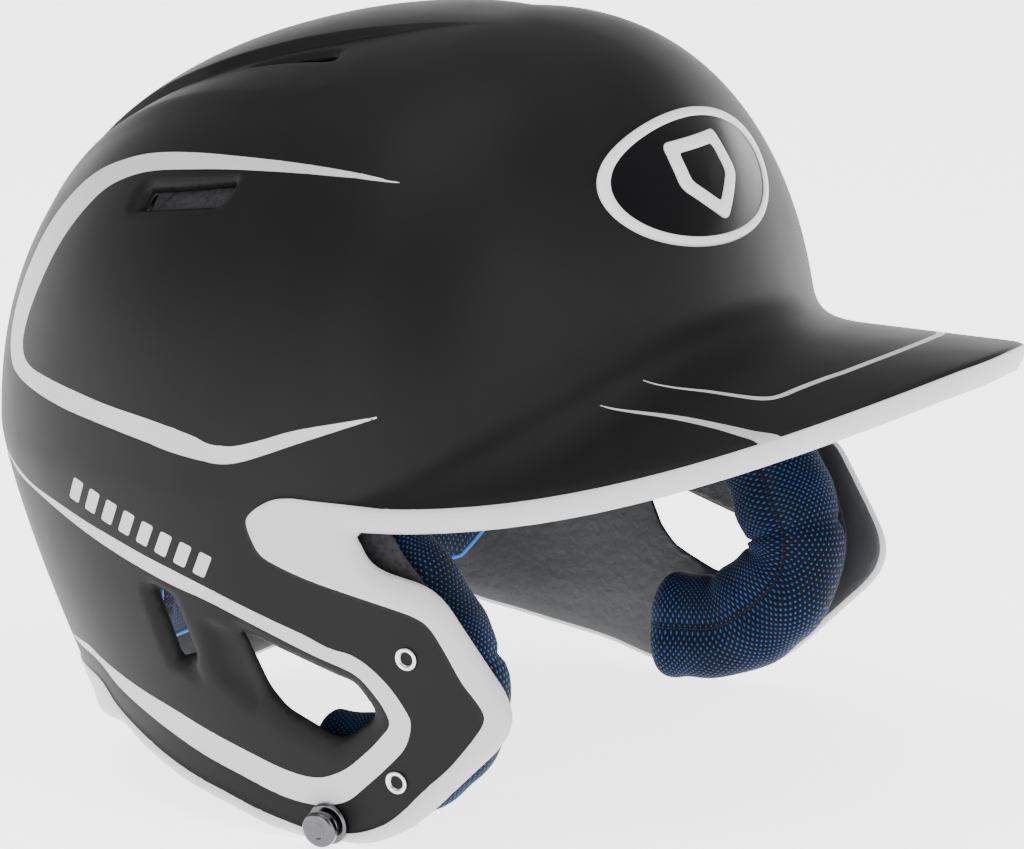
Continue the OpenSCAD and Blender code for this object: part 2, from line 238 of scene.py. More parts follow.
LOOP = np.vstack(
    [
        spline(
            [
                (118, -4), (103.6, -7.8), (93.2, -9.9), (81, -11.6), (68, -14.2), (56.9, -16.5),
                (46.8, -18.9), (36.8, -21.2), (26.7, -23.8), (16.5, -26.7), (6.4, -29.6), (-3.8, -32.5),
                (-11, -35), (-17.1, -35.9), (-22.4, -38.4), (-28, -43.1), (-32.2, -48.7), (-33.5, -52.5),
                (-31.4, -58.7), (-26.1, -64.5), (-19.1, -70.9), (-13.5, -75.5), (-7.7, -77.6),
                (-1.7, -78.2), (7.3, -77), (19.2, -73.6), (29.9, -70.9), (39.5, -68), (52.5, -63.7),
                (65, -59.3), (75.7, -54.2), (96, -53.3)
            ]
        ),
        spline(
            [
                (96, -53.3), (79.9, -51.4), (70.4, -53.5), (54.6, -57.1), (41.3, -60), (29.6, -63.3),
                (16.9, -66.7), (7.9, -69.2), (0.9, -70.6), (-5, -70.6), (-9.8, -69), (-14.6, -66.2),
                (-20.2, -61.4), (-24.6, -56.9), (-27.3, -53.1), (-25.8, -48.9), (-21.9, -44.2),
                (-18.6, -41.5), (-14.4, -39.8), (-6.1, -37.6), (7.1, -33.3), (18.3, -29.8), (27.4, -27.3),
                (37.4, -25.3), (50.5, -22.1), (64.6, -18.4), (78.8, -14.5), (90.9, -11.5), (103.5, -9.4)
            ]
        ),
    ]
)
PANEL = spline(
    [
        (-2, 3.3), (3, 2.4), (7.5, 0.2), (10.9, -2.6), (11.8, -4.9), (10.5, -8.8), (7.8, -12.7),
        (2.3, -15.1), (-6.8, -17.6), (-17.2, -19.6), (-27.8, -21.5), (-36.3, -23.3), (-40.6, -25.7),
        (-44.6, -31.5), (-48.9, -39), (-53.3, -44.5), (-54.5, -47.8), (-52.6, -51.8), (-44.4, -61.7),
        (-36.5, -69), (-27.9, -77.3), (-22.1, -81.2), (-15.3, -83.9), (-8.4, -84.9)
    ]
)
RIM_TOP = spline(
    [
        (-0.3, -85), (13.7, -81.9), (24.5, -78.9), (34.1, -76.7), (46.2, -73.3), (56.9, -69.7),
        (67.5, -65.5), (77.9, -59.8), (104.9, -61.6), (125, -63), (170, -63)
    ]
)
WHITE_EDGE = np.vstack(
    [
        np.stack([brim_y[:-1], brim_side(brim_y[:-1], 0.5)], -1),
        PANEL,
        RIM_TOP,
        [(170, -130), (-180, -130), (-180, 28)],
    ]
)


def ribbon(pts, widths):
    """A closed stripe along a polyline in top view, with a width at each point."""
    p = spline(pts)
    w = np.interp(np.linspace(0, 1, len(p)), np.linspace(0, 1, len(widths)), widths)
    t = unit(np.gradient(p, axis=0))
    n = np.stack([-t[:, 1], t[:, 0]], -1)
    return np.vstack([p + n * w[:, None] / 2, (p - n * w[:, None] / 2)[::-1]])


V_HALF = [
    (48.3, -69.3), (47, -77), (46.3, -86), (46.6, -97), (46.2, -103), (44, -106.3), (38.5, -109),
    (31, -112.4), (24.2, -115.3), (12, -118.2)
]
V_FRONT = ribbon(
    [(-x, y) for x, y in V_HALF] + [(0, -119.2)] + V_HALF[::-1],
    [0.3, 1.2, 1.9, 2.1, 2.1, 2.1, 2.1, 2.1, 1.9, 1.2, 0.3]
)
V_SIDE = ribbon(
    [(61.8, -64.7), (60, -75), (60, -86.5), (61.3, -98.6), (63, -109), (64, -118)],
    [0.3, 1.2, 1.9, 2.4, 3.4, 5.5]
)
BAR = np.array([(75, -8.6), (71.2, -9.6), (68.2, -3.6), (72, -2.6)])
BAR_STEP = np.array([6.4, 1.72])
BARS = [rounded(BAR - BAR_STEP * k, 0.6, 2) for k in range(8)]

RIDGE_IN = ([-12, 8, 20, 35, 51, 69, 110], [12, 20, 25, 30, 34, 36, 30])
RIDGE_OUT = ([-12, 8, 26, 43, 61, 97, 125], [40, 52, 58, 56, 52, 42, 34])


def relief(p):
    """Height of the moulded detail above the plain wall, in mm."""
    x, y, z = np.abs(p[:, 0]), p[:, 1], p[:, 2]
    h = np.zeros(len(p))
    side = ease((x - 45) / 10)
    rim = -inside_distance(TRIM, y, z)
    h -= 1.9 * np.clip(1 - rim / 4.5, 0, 1) ** 2
    white = inside_distance(WHITE_EDGE, y, z)
    h += 0.6 * ease(0.5 - white / 1.3)
    ear = inside_distance(EAR_HOLE, y, z)
    h -= side * 1.7 * np.clip(1 - np.maximum(ear, 0) / 4.5, 0, 1) ** 2
    h -= side * 2.0 * ease(-inside_distance(EAR_RAMP, y, z) / 5)
    h -= side * 1.5 * np.clip(1 - np.maximum(inside_distance(SLOT, y, z), 0) / 2.5, 0, 1) ** 2
    h -= side * 1.9 * ease(-inside_distance(SLOT_RAMP, y, z) / 4)
    h -= side * 1.3 * np.clip(1 - np.maximum(inside_distance(SIDE_VENT, y, z), 0) / 2.2, 0, 1) ** 2
    top = ease((z - 55) / 20)
    h -= top * 1.3 * np.clip(1 - np.maximum(inside_distance(CROWN_VENT, x, y), 0) / 2.2, 0, 1) ** 2
    a, b = np.interp(y, *RIDGE_IN), np.interp(y, *RIDGE_OUT)
    along = ease((y + 8) / 45) * ease((z - 30) / 30)
    groove = ease((x - a) / 2.6 + 0.5) * (1 - np.clip((x - a) / (b - a), 0, 1))
    h += along * (0.5 - 2.5 * groove - 0.5 * ease((x - b) / 8))
    return h


# ---------------------------------------------------------------- cutting a triangle mesh of directions
def refine(d, tris, tags, field, reach, size):
    """Halves the edges longer than size within reach of field == 0."""
    p = wall_point(d)
    close = np.abs(field(p)) < reach
    both = np.sort(np.vstack([tris[:, [0, 1]], tris[:, [1, 2]], tris[:, [2, 0]]]), 1)
    e, index = np.unique(both, axis=0, return_inverse=True)
    index = index.reshape(3, -1).T
    split = (close[e[:, 0]] | close[e[:, 1]]) & (np.linalg.norm(p[e[:, 0]] - p[e[:, 1]], axis=1) > size)
    new = np.full(len(e), -1)
    new[split] = len(d) + np.arange(split.sum())
    d = np.vstack([d, unit(d[e[split, 0]] + d[e[split, 1]])])
    mid = new[index]
    count = (mid >= 0).sum(1)
    out, out_tags = [tris[count == 0]], [tags[count == 0]]
    for k in range(3):
        v, m = np.roll(tris, -k, 1), np.roll(mid, -k, 1)
        one = (count == 1) & (m[:, 0] >= 0)
        two = (count == 2) & (m[:, 2] < 0)
        for rows, parts in (
            (one, [(v[:, 0], m[:, 0], v[:, 2]), (m[:, 0], v[:, 1], v[:, 2])]),
            (
                two,
                [(m[:, 0], v[:, 1], m[:, 1]), (v[:, 0], m[:, 0], m[:, 1]), (v[:, 0], m[:, 1], v[:, 2])]
            ),
        ):
            for part in parts:
                out.append(np.stack(part, -1)[rows])
                out_tags.append(tags[rows])
    full = count == 3
    v, m = tris[full], mid[full]
    for part in (
        (v[:, 0], m[:, 0], m[:, 2]), (m[:, 0], v[:, 1], m[:, 1]), (m[:, 2], m[:, 1], v[:, 2]),
        (m[:, 0], m[:, 1], m[:, 2])
    ):
        out.append(np.stack(part, -1))
        out_tags.append(tags[full])
    return d, np.vstack(out), np.vstack(out_tags)


def cut(d, tris, tags, field):
    """Splits the triangles along field == 0 and returns the mesh with True for each triangle inside."""
    f = field(wall_point(d))
    e = np.unique(np.sort(np.vstack([tris[:, [0, 1]], tris[:, [1, 2]], tris[:, [2, 0]]]), 1), axis=0)
    e = e[f[e[:, 0]] * f[e[:, 1]] < 0]
    t = f[e[:, 0]] / (f[e[:, 0]] - f[e[:, 1]])
    d = d.copy()
    for ends, near in ((e, t), (e[:, ::-1], 1 - t)):
        close = near < 0.2
        a, b = ends[close, 0], ends[close, 1]
        d[a] = unit(d[a] + (d[b] - d[a]) * near[close, None])
        f[a] = 0
    sign = np.sign(f).astype(int)
    s = sign[tris]
    mixed = (s.max(1) > 0) & (s.min(1) < 0)
    keep, keep_tags = tris[~mixed], tags[~mixed]
    new_d, new_t, new_tags, made = [], [], [], {}

    def middle(a, b):
        key = (a, b) if a < b else (b, a)
        if key not in made:
            u = f[key[0]] / (f[key[0]] - f[key[1]])
            v = d[key[0]] + (d[key[1]] - d[key[0]]) * u
            made[key] = len(d) + len(new_d)
            new_d.append(v / np.linalg.norm(v))
        return made[key]

    for tri, tag in zip(tris[mixed].tolist(), tags[mixed].tolist()):
        ss = [sign[i] for i in tri]
        if 0 in ss:
            k = ss.index(0)
            a, b, c = tri[k], tri[(k + 1) % 3], tri[(k + 2) % 3]
            m = middle(b, c)
            parts = [(a, b, m), (a, m, c)]
        else:
            k = next(i for i in range(3) if ss[i] != ss[(i + 1) % 3] and ss[i] != ss[(i + 2) % 3])
            a, b, c = tri[k], tri[(k + 1) % 3], tri[(k + 2) % 3]
            m, n = middle(a, b), middle(c, a)
            parts = [(a, m, n), (m, b, c), (m, c, n)]
        new_t += parts
        new_tags += [tag] * len(parts)
    size = len(d)
    if new_t:
        d = np.vstack([d, np.array(new_d)])
        f = np.concatenate([f, np.zeros(len(new_d))])
        tris = np.vstack([keep, np.array(new_t)])
        tags = np.vstack([keep_tags, np.array(new_tags)])
    else:
        tris, tags = keep, keep_tags
    return d, tris, tags, f[tris].sum(1) < 0


def boundary_edges(tris):
    e = np.vstack([tris[:, [0, 1]], tris[:, [1, 2]], tris[:, [2, 0]]])
    owner = np.tile(np.arange(len(tris)), 3)
    key = np.sort(e, 1)
    _, index, counts = np.unique(key, axis=0, return_inverse=True, return_counts=True)
    lone = counts[index.ravel()] == 1
    return e[lone], owner[lone]


def area_normals(co, tris):
    n = np.cross(co[tris[:, 1]] - co[tris[:, 0]], co[tris[:, 2]] - co[tris[:, 0]])
    out = np.zeros_like(co)
    for k in range(3):
        np.add.at(out, tris[:, k], n)
    return unit(out)


# ---------------------------------------------------------------- making Blender meshes
def add_mesh(name, co, faces, mats, index=None, normals=None, uv=None):
    """co in mm about the dome centre, faces all of one length."""
    mesh = bpy.data.meshes.new(name)
    co = (np.asarray(co, float) + CENTRE) * 0.001
    faces = np.asarray(faces, np.int32)
    n = faces.shape[1]
    mesh.vertices.add(len(co))
    mesh.vertices.foreach_set("co", co.astype(np.float32).ravel())
    mesh.loops.add(faces.size)
    mesh.loops.foreach_set("vertex_index", faces.ravel())
    mesh.polygons.add(len(faces))
    mesh.polygons.foreach_set("loop_start", np.arange(len(faces), dtype=np.int32) * n)
    for m in mats:
        mesh.materials.append(m)
    if index is not None:
        mesh.polygons.foreach_set("material_index", np.asarray(index, np.int32))
    mesh.update(calc_edges=True)
    mesh.validate()
    mesh.polygons.foreach_set("use_smooth", np.ones(len(mesh.polygons), bool))
    if uv is not None:
        layer = mesh.uv_layers.new(name="UVMap")
        layer.data.foreach_set("uv", np.asarray(uv, np.float32)[faces.ravel()].ravel())
    if normals is not None and len(mesh.polygons) == len(faces):
        mesh.normals_split_custom_set(normals[faces.ravel()].tolist())
    ob = bpy.data.objects.new(name, mesh)
    bpy.context.scene.collection.objects.link(ob)
    return ob


def finish_piece(ob, nodes=()):
    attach(ob, "root")
    if nodes:
        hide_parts(*nodes)
    return ob


# ---------------------------------------------------------------- materials
class Finish:
    """A Principled material with a small vocabulary for adding procedural detail."""

    def __init__(self, name, colour, rough, metallic=0.0, specular=0.5):
        self.m = bpy.data.materials.new(name)
        self.m.use_nodes = True
        self.t = self.m.node_tree
        self.b = next(n for n in self.t.nodes if n.type == "BSDF_PRINCIPLED")
        self.b.inputs["Base Color"].default_value = (*colour, 1)
        self.b.inputs["Roughness"].default_value = rough
        self.b.inputs["Metallic"].default_value = metallic
        self.b.inputs["Specular IOR Level"].default_value = specular

    def add(self, kind, **inputs):
        n = self.t.nodes.new(kind)
        for k, v in inputs.items():
            self.put(n.inputs[k.replace("_", " ")], v)
        return n

    def put(self, socket, v):
        if hasattr(v, "links"):
            self.t.links.new(v, socket)
        else:
            socket.default_value = v

    def maths(self, op, a, b=0.0, c=0.0):
        n = self.t.nodes.new("ShaderNodeMath")
        n.operation = op
        for s, v in zip(n.inputs, (a, b, c)):
            self.put(s, v)
        return n.outputs[0]

    def coords(self):
        return self.t.nodes.new("ShaderNodeTexCoord").outputs["Object"]

    def noise(self, scale, detail=3.0, vector=None):
        n = self.add("ShaderNodeTexNoise", Scale=scale, Detail=detail)
        self.t.links.new(vector or self.coords(), n.inputs["Vector"])
        return n.outputs[0]

    def ramp(self, value, stops):
        n = self.t.nodes.new("ShaderNodeValToRGB")
        self.t.links.new(value, n.inputs[0])
        el = n.color_ramp.elements
        while len(el) < len(stops):
            el.new(0.5)
        for e, (pos, c) in zip(el, stops):
            e.position = pos
            e.color = (*c, 1) if len(c) == 3 else c
        return n.outputs[0]

    def spread(self, value, lo, hi):
        n = self.add("ShaderNodeMapRange")
        self.t.links.new(value, n.inputs[0])
        n.inputs["To Min"].default_value = lo
        n.inputs["To Max"].default_value = hi
        return n.outputs[0]

    def mix(self, fac, a, b):
        n = self.t.nodes.new("ShaderNodeMix")
        n.data_type = "RGBA"
        self.put(n.inputs[0], fac)
        for s, v in ((n.inputs[6], a), (n.inputs[7], b)):
            self.put(s, v if hasattr(v, "links") else (*v, 1))
        return n.outputs[2]

    def bump(self, height, strength, distance=0.0002):
        n = self.add("ShaderNodeBump", Strength=strength, Distance=distance, Height=height)
        self.t.links.new(n.outputs[0], self.b.inputs["Normal"])
        return self


def painted(name, dark, light, rough, specular):
    f = Finish(name, dark, rough, specular=specular)
    cloud = f.noise(28, 4)
    f.put(f.b.inputs["Base Color"], f.ramp(cloud, [(0.35, dark), (0.65, light)]))
    f.put(f.b.inputs["Roughness"], f.spread(f.noise(60, 5), rough - 0.04, rough + 0.05))
    f.bump(f.noise(2600, 2), 0.10, 0.0001)
    return f


black = painted("matte_black_paint", (0.0032, 0.0032, 0.0034), (0.0042, 0.0042, 0.0044), 0.48, 0.11)
white = painted("white_paint", (0.37, 0.37, 0.37), (0.41, 0.41, 0.41), 0.42, 0.35)
inner = painted("shell_interior", (0.022, 0.023, 0.024), (0.045, 0.046, 0.048), 0.36, 0.45)
inner.bump(inner.noise(420, 6), 0.5, 0.0004)

foam = Finish("moulded_foam", (0.012, 0.012, 0.013), 0.85, specular=0.3)
pores = foam.add("ShaderNodeTexVoronoi", Scale=700.0)
foam.t.links.new(foam.coords(), pores.inputs["Vector"])
foam.put(
    foam.b.inputs["Base Color"],
    foam.ramp(pores.outputs[0], [(0.1, (0.008, 0.008, 0.009)), (0.7, (0.02, 0.02, 0.022))])
)
foam.bump(pores.outputs[0], 0.5, 0.0004)


def knit(name, pitch, row, dot_colour, base):
    """Knitted cover with staggered dashes; the UV map is in metres."""
    f = Finish(name, base, 0.8, specular=0.12)
    sep = f.add("ShaderNodeSeparateXYZ")
    f.t.links.new(f.t.nodes.new("ShaderNodeTexCoord").outputs["UV"], sep.inputs[0])
    u = f.maths("DIVIDE", sep.outputs[0], pitch)
    v = f.maths("DIVIDE", sep.outputs[1], row)
    spots = []
    for shift in (0.0, 0.5):
        a = f.maths("SUBTRACT", f.maths("FRACT", f.maths("ADD", u, shift)), 0.5)
        b = f.maths("SUBTRACT", f.maths("FRACT", f.maths("ADD", v, shift)), 0.5)
        aa = f.maths("POWER", f.maths("MULTIPLY", a, 3.4), 2.0)
        bb = f.maths("POWER", f.maths("MULTIPLY", b, 2.5), 2.0)
        spots.append(f.maths("SQRT", f.maths("ADD", aa, bb)))
    near = f.maths("MINIMUM", spots[0], spots[1])
    size = f.spread(f.noise(25, 2), 0.2, 0.8)
    dot = f.maths("MULTIPLY", f.maths("SUBTRACT", size, near), 5.0)
    dot = f.maths("MINIMUM", f.maths("MAXIMUM", dot, 0.0), 1.0)
    f.put(f.b.inputs["Base Color"], f.mix(dot, base, dot_colour))
    f.b.inputs["Sheen Weight"].default_value = 0.06
    f.b.inputs["Sheen Roughness"].default_value = 0.5
    f.bump(near, 0.6, 0.0003)
    return f


cover = knit("dotted_knit", 0.0017, 0.0020, (0.0025, 0.055, 0.28), (0.0014, 0.0014, 0.002))
lining = knit("seam_thread", 0.0012, 0.0014, (0.004, 0.004, 0.006), (0.002, 0.002, 0.0025))
piping = Finish("blue_piping", (0.006, 0.10, 0.40), 0.5)
piping.bump(piping.noise(3000, 2), 0.3)
piping.put(piping.b.inputs["Roughness"], piping.spread(piping.noise(400), 0.4, 0.6))

gloss = Finish("badge_gloss_black", (0.002, 0.002, 0.0025), 0.2, specular=0.1)
gloss.put(gloss.b.inputs["Roughness"], gloss.spread(gloss.noise(90, 4), 0.16, 0.24))
silver = Finish("badge_ring_paint", (0.60, 0.60, 0.60), 0.35)
silver.put(silver.b.inputs["Roughness"], silver.spread(silver.noise(120, 4), 0.3, 0.42))
silver.bump(silver.noise(1800, 2), 0.08)


def metal(name, colour, rough):
    f = Finish(name, colour, rough, metallic=1.0)
    f.put(f.b.inputs["Roughness"], f.spread(f.noise(900, 4), rough - 0.06, rough + 0.1))
    f.put(
        f.b.inputs["Base Color"],
        f.ramp(f.noise(300, 4), [(0.3, tuple(c * 0.85 for c in colour)), (0.7, colour)])
    )
    f.bump(f.noise(2500, 2), 0.12, 0.0001)
    return f


zinc = metal("zinc_plate", (0.62, 0.62, 0.63), 0.28)
# dark metal laid on the narrow thread bores of the inserts: painted shade down the bore, not a finish of the
# insert
bore_shade_paint = metal("thread_in_shade", (0.05, 0.05, 0.052), 0.5)
nickel = metal("dark_nickel", (0.09, 0.09, 0.095), 0.14)
hooks = Finish("hook_tape", (0.01, 0.01, 0.011), 0.9)
hooks.bump(hooks.noise(1500, 2), 0.9, 0.0006)

# ---------------------------------------------------------------- shell
N_AZ = 440
ROWS_LOW, ROWS_TOP = ((84, 130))


def side_field(poly, flip=1.0):
    return lambda p: flip * np.where(np.abs(p[:, 0]) > 40, inside_distance(poly, p[:, 1], p[:, 2]), 9.0)


def top_field(poly, least_z):
    return lambda p: np.where(p[:, 2] > least_z, inside_distance(poly, np.abs(p[:, 0]), p[:, 1]), 9.0)


def build_shell():
    az = np.arange(N_AZ) * 360 / N_AZ
    cx, cf = np.abs(np.sin(np.radians(az))), np.cos(np.radians(az))
    e0 = edge_el(cx, cf)
    low = np.arange(ROWS_LOW) / ROWS_LOW
    fine = np.linspace(0, 1, 900)[:, None]
    up = e0 + (90 - e0) * fine**1.5
    arc = wall_point(direction(np.broadcast_to(az, up.shape), up))
    run = np.vstack([np.zeros(N_AZ), np.cumsum(np.linalg.norm(np.diff(arc, axis=0), axis=2), axis=0)])
    run = run / run[-1]
    steps = np.arange(ROWS_TOP) / ROWS_TOP
    top = np.stack([np.interp(steps, run[:, k], up[:, k]) for k in range(N_AZ)], -1)
    el = np.vstack([-52 + (e0 + 52) * low[:, None], top])
    d = direction(np.broadcast_to(az, el.shape), el).reshape(-1, 3)
    rows = len(el)
    i, j = np.meshgrid(np.arange(rows - 1), np.arange(N_AZ), indexing="ij")
    a, b = i * N_AZ + j, i * N_AZ + (j + 1) % N_AZ
    quads = np.stack([a, b, b + N_AZ, a + N_AZ], -1).reshape(-1, 4)
    pole = len(d)
    d = np.vstack([d, [[0, 0, 1.0]]])
    last = (rows - 1) * N_AZ
    fan = np.stack([last + np.arange(N_AZ), last + (np.arange(N_AZ) + 1) % N_AZ, np.full(N_AZ, pole)], -1)
    tris = np.vstack([quads[:, [0, 1, 2]], quads[:, [0, 2, 3]], fan])
    tags = np.zeros((len(tris), 1), int)
    d, tris, tags, ins = cut(d, tris, tags, lambda p: inside_distance(TRIM, p[:, 1], p[:, 2]))
    tris, tags = tris[ins], tags[ins]
    for field in (
        side_field(EAR_HOLE), side_field(SLOT), side_field(SIDE_VENT), top_field(CROWN_VENT, 60)
    ):
        d, tris, tags, ins = cut(d, tris, tags, field)
        tris, tags = tris[~ins], tags[~ins]
    paints = [
        lambda p: inside_distance(WHITE_EDGE, p[:, 1], p[:, 2]), side_field(C_STRIPE), side_field(LOOP)
    ]
    paints += [top_field(V_FRONT, 15), top_field(V_SIDE, 5)]
    paints += [side_field(bar) for bar in BARS]
    for k, field in enumerate(paints):
        d, tris, tags = refine(d, tris, tags, field, 1.2, 1.0)
        if k > 2:
            d, tris, tags = refine(d, tris, tags, field, 1.6, 0.8)
            d, tris, tags = refine(d, tris, tags, field, 1.0, 0.5)
        d, tris, tags, ins = cut(d, tris, tags, field)
        tags = tags | ins[:, None].astype(int)
    # a second bit marks the strip beside the rim, painted on the inside too where the outside is white
    d, tris, tags, ins = cut(d, tris, tags, lambda p: LIP_W - inside_distance(TRIM, p[:, 1], p[:, 2]))
    tags = tags | ins[:, None] * 2
    used = np.unique(tris)
    back = np.full(len(d), -1)
    back[used] = np.arange(len(used))
    d, tris, paint, lip = d[used], back[tris], tags[:, 0] & 1, tags[:, 0] == 3
    base = wall_point(d)
    outer = d * (shell_r(d) + relief(base))[:, None]
    rim = -inside_distance(TRIM, base[:, 1], base[:, 2])
    inside = d * (shell_r(d, WALL) + 0.5 * np.clip(1 - rim / 2.5, 0, 1) ** 2)[:, None]
    edges, owner = boundary_edges(tris)
    n_out = area_normals(outer, tris)
    away = np.zeros_like(outer)
    along = outer[edges[:, 1]] - outer[edges[:, 0]]
    side = unit(np.cross(along, n_out[edges[:, 0]] + n_out[edges[:, 1]]))
    for k in (0, 1):
        np.add.at(away, edges[:, k], side)
    ring = np.unique(edges)
    place = np.full(len(d), -1)
    place[ring] = np.arange(len(ring)) + 2 * len(d)
    mid = (outer[ring] + inside[ring]) / 2 + unit(away[ring]) * 0.55
    co = np.vstack([outer, inside, mid])
    n = len(d)
    a, b = edges[:, 0], edges[:, 1]
    wall = np.vstack(
        [
            np.stack([b, a, place[a]], -1),
            np.stack([b, place[a], place[b]], -1),
            np.stack([place[b], place[a], a + n], -1),
            np.stack([place[b], a + n, b + n], -1),
        ]
    )
    wall_paint = np.tile(paint[owner], 4)
    faces = np.vstack([tris, tris[:, ::-1] + n, wall])
    index = np.concatenate([paint, np.where(lip, 1, 2), wall_paint])
    normals = area_normals(co, faces)
    return add_mesh("shell", co, faces, [black.m, white.m, inner.m], index, normals)


finish_piece(build_shell(), ["shell"])


# ---------------------------------------------------------------- pads and foam blocks
def squircle(n, m, k=0.30):
    """An n by m grid over [-1, 1] squared with its corners drawn in."""
    a, b = np.meshgrid(np.linspace(-1, 1, n), np.linspace(-1, 1, m), indexing="ij")
    return a * np.sqrt(1 - k * b * b), b * np.sqrt(1 - k * a * a), a, b


def pillow(name, place, sink, thick, mats, node, n=72, m=40, edge=0.22, dents=None):
    """A soft block that follows the inside of the shell. place maps the unit square to directions."""
    u, v, a, b = squircle(n, m)
    d = place(u, v)
    swell = (np.clip(1 - a**8, 0, 1) * np.clip(1 - b**8, 0, 1)) ** 0.5
    puff = edge + (1 - edge) * swell
    if dents is not None:
        puff = puff * dents(u, v)
    back_face = wall_point(d.reshape(-1, 3), sink + 0.06 * thick * (1 - swell.ravel()))
    front = wall_point(d.reshape(-1, 3), sink + thick * puff.ravel())
    co = np.vstack([back_face, front])
    i, j = np.meshgrid(np.arange(n - 1), np.arange(m - 1), indexing="ij")
    q = np.stack([i * m + j, i * m + j + 1, (i + 1) * m + j + 1, (i + 1) * m + j], -1).reshape(-1, 4)
    nn = n * m
    rim = np.concatenate(
        [
            np.arange(m), (np.arange(1, n) * m + m - 1), (n - 1) * m + np.arange(m - 2, -1, -1),
            np.arange(n - 2, 0, -1) * m
        ]
    )
    nxt = np.roll(rim, -1)
    faces = np.vstack([q, q[:, ::-1] + nn, np.stack([nxt, rim, rim + nn, nxt + nn], -1)])
    e = co[faces[0][1]] - co[faces[0][0]]
    f = co[faces[0][3]] - co[faces[0][0]]
    if np.dot(np.cross(e, f), co[faces[0][0]]) < 0:
        faces = faces[:, ::-1]
    span_u = np.linalg.norm(np.diff(front.reshape(n, m, 3)[:, m // 2], axis=0), axis=1).sum()
    span_v = np.linalg.norm(np.diff(front.reshape(n, m, 3)[n // 2], axis=0), axis=1).sum()
    uv = np.tile(np.stack([u.ravel() * span_u / 2, v.ravel() * span_v / 2], -1) * 0.001, (2, 1))
    ob = add_mesh(name, co, faces, mats, uv=uv)
    finish_piece(ob, [node] if node else [])
    return front.reshape(n, m, 3), rim


def tube(name, path, radius, mat, closed=True, sides=10):
    p = np.asarray(path)
    t = unit(np.roll(p, -1, 0) - np.roll(p, 1, 0)) if closed else unit(np.gradient(p, axis=0))
    out = unit(p)
    w = unit(np.cross(t, out))
    out = np.cross(w, t)
    ang = np.arange(sides) * 2 * math.pi / sides
    co = (
        p[:, None] + radius * (
            np.cos(ang)[None, :, None] * w[:, None] + np.sin(ang)[None, :, None] * out[:, None]
        )
    ).reshape(-1, 3)
    k = len(p) if closed else len(p) - 1
    i, j = np.meshgrid(np.arange(k), np.arange(sides), indexing="ij")
    a, b = i * sides + j, i * sides + (j + 1) % sides
    s = ((i + 1) % len(p)) * sides
    faces = np.stack([a, b, s + (j + 1) % sides, s + j], -1).reshape(-1, 4)
    return finish_piece(add_mesh(name, co, faces, [mat]))


def polar(a0, a1, e0, e1):
    return lambda u, v: direction(a0 + (a1 - a0) * (u + 1) / 2, e0 + (e1 - e0) * (v + 1) / 2)


def crown(x, y0, y1):
    return lambda u, v: unit(np.stack([-x * u, y0 + (y1 - y0) * (v + 1) / 2, np.full(u.shape, 90.0)], -1))


def grooves(lines, depth=0.35, width=0.05, along_v=True):
    def f(u, v):
        w = v if along_v else u
        out = np.ones(u.shape)
        for k in lines:
            out = out - depth * np.exp(-(((w - k) / width) ** 2))
        return out

    return f


LINER_IN, LINER_T, PAD_T = WALL + 0.6, 11.0, 9.0
PAD_IN = LINER_IN + LINER_T + 1.2
BLOCKS = {
    "liner_front": (polar(-52, 52, 22, 48), grooves([-0.35, 0.35], 0.25, 0.03, False)),
    "liner_crown": (crown(32, -34, 62), grooves([0.0], 0.25, 0.03)),
    "liner_rear": (polar(138, 222, 10, 44), grooves([-0.4, 0.4], 0.25, 0.03, False)),
    "liner_left": (polar(64, 128, 14, 46), grooves([0.0], 0.25, 0.03, False)),
    "liner_right": (polar(232, 296, 14, 46), grooves([0.0], 0.25, 0.03, False)),
}
PADS = {
    "brow_pad": (polar(-48, 48, 24, 42), grooves([-0.34, 0.34], 0.3, 0.05, False)),
    "crown_pad": (crown(26, -28, 54), grooves([-0.3, 0.3], 0.3, 0.05)),
    "nape_pad": (polar(118, 242, -34, 7.5), grooves([-0.7, -0.25, 0.25, 0.7], 0.22, 0.025, False)),
    "temple_pad_left": (polar(70, 122, 17, 40), grooves([0.0], 0.3, 0.05, False)),
    "temple_pad_right": (polar(238, 290, 17, 40), grooves([0.0], 0.3, 0.05, False)),
}
for name, (place, dents) in BLOCKS.items():
    pillow(name, place, LINER_IN, LINER_T, [foam.m], name, edge=0.6, dents=dents)
for name, (place, dents) in PADS.items():
    low = name == "nape_pad"
    sink, thick = (LINER_IN, LINER_T + PAD_T - 1) if low else (PAD_IN, PAD_T)
    front, rim = pillow(
        name, place, sink, thick, [cover.m], name, 110 if low else 72, dents=dents
    )
    tube(name + "_piping", front.reshape(-1, 3)[rim], 0.75, piping.m)

# ---------------------------------------------------------------- ear cushions
EAR_PATH = [
    (-9.5, -2), (-19, -11.8), (-26.6, -21.2), (-32.5, -31), (-38, -42), (-37.5, -52), (-31, -60.5),
    (-20, -68.5), (-6, -70.5), (2.9, -70.5)
]
EAR_R, EAR_FLAT = 14.4, 0.54
# how far back each cushion sits, left 1 and right -1
EAR_SHIFT = {1: -0.8, -1: 2.5}


def flank(side, y, z):
    d = unit(np.stack([np.full(len(y), side * 96.0), y, z], -1))
    return wall_point(d)


def flank_frame(side, pts):
    y, z = pts[:, 0], pts[:, 1]
    o = flank(side, y, z)
    n = side * np.cross(
        flank(side, y + 2, z) - flank(side, y - 2, z), flank(side, y, z + 2) - flank(side, y, z - 2)
    )
    return o, unit(n)


